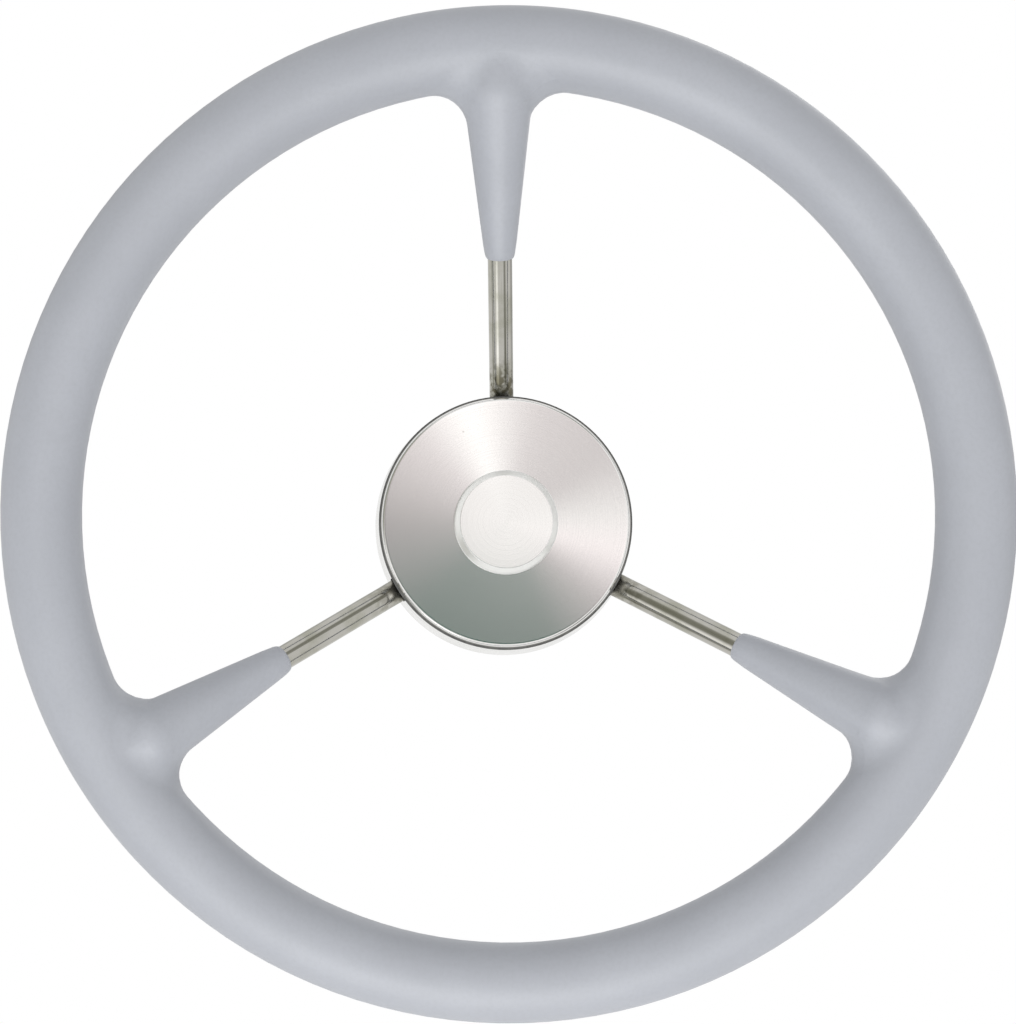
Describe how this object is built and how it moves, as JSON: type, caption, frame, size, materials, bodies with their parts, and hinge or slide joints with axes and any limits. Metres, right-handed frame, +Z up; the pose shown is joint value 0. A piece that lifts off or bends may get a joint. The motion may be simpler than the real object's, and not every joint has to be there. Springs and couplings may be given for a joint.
{
  "type": "boat steering wheel",
  "caption": "Dished marine steering wheel with a soft foam rim moulded down its round steel rods, and a pull-off brushed steel cap over a tapered shaft hub.",
  "frame": {"origin": "middle of the hub's back face, at the wide end of the tapered shaft bore", "axes": "+Y along the shaft, out of the back of the hub towards the helm, so the front of the wheel faces -Y; +Z up the wheel, along the top spoke; +X to the right seen from the front"},
  "size_m": [0.38, 0.096, 0.38],
  "materials": {
    "grip_foam": "matte",
    "core_steel": "satin",
    "rod_steel": "polished",
    "hub_steel": "satin",
    "cup_steel": "polished",
    "screw_steel": "polished",
    "black_rubber": "matte",
    "cap_steel": "satin",
    "carrier_plastic": "satin"
  },
  "bodies": {
    "wheel": {"rim_grip": "grip_foam", "rim_core_ring": "core_steel", "spoke_top": "rod_steel", "spoke_left": "rod_steel", "spoke_right": "rod_steel", "hub": "hub_steel", "hub_cup": "cup_steel", "cup_screws": "screw_steel", "cap_o_ring": "black_rubber"},
    "centre_cap": {"cap_shell": "cap_steel", "cap_seal": "black_rubber", "cap_carrier": "carrier_plastic"}
  },
  "joints": [
    {"name": "cap_pull", "type": "slide", "parent": "wheel", "child": "centre_cap", "axis": [0, -1, 0], "range_m": [0, 0.08]}
  ]
}
